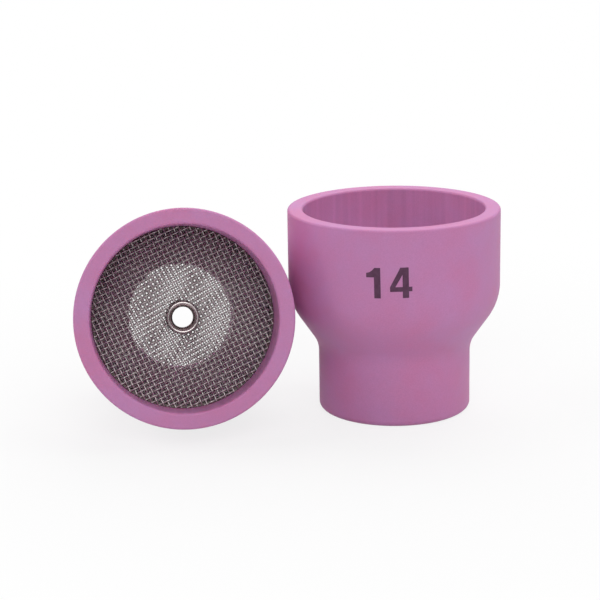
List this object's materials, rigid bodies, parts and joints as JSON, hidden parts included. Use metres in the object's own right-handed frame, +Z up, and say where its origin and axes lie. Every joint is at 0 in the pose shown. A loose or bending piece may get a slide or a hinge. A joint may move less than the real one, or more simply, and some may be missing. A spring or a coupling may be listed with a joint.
{
  "type": "tig gas lens cup pair",
  "caption": "Flared ceramic welding cups with a stepped neck and a woven wire gas diffuser round a central electrode ferrule, for shielding gas.",
  "frame": {"origin": "centre of the standing cup's neck end, on the surface that it stands on", "axes": "+Z up along the standing cup's axis towards its mouth; the lying cup is on the -X side with its mouth towards -Y"},
  "size_m": [0.0519, 0.0299, 0.0276],
  "materials": {
    "alumina": "pressed and sintered pink alumina, matt",
    "wire_cloth": "woven stainless wire",
    "steel_strip": "cold-rolled stainless strip",
    "ferrule_steel": "drawn and rolled stainless eyelet",
    "size_ink": "fired-on dark ink of the plain size number"
  },
  "bodies": {
    "standing_cup": {"standing_cup": "alumina"},
    "standing_diffuser": {"standing_front_screen": "wire_cloth", "standing_rear_screen": "wire_cloth", "standing_spring_band": "steel_strip", "standing_ferrule": "ferrule_steel", "standing_spacer_sleeve": "steel_strip", "standing_ferrule_washer": "steel_strip"},
    "lying_cup": {"lying_cup": "alumina"},
    "lying_diffuser": {"lying_front_screen": "wire_cloth", "lying_rear_screen": "wire_cloth", "lying_spring_band": "steel_strip", "lying_ferrule": "ferrule_steel", "lying_spacer_sleeve": "steel_strip", "lying_ferrule_washer": "steel_strip"}
  },
  "joints": [
    {"name": "standing_diffuser_pull", "type": "slide", "parent": "standing_cup", "child": "standing_diffuser", "axis": [0, 0, 1], "range_m": [0, 0.02]},
    {"name": "lying_cup_slide", "type": "slide", "parent": "standing_cup", "child": "lying_cup", "axis": [-1, 0, 0], "range_m": [0, 0.04]},
    {"name": "lying_diffuser_pull", "type": "slide", "parent": "lying_cup", "child": "lying_diffuser", "axis": [0.0828, -0.9658, 0.2456], "range_m": [0, 0.02]}
  ]
}
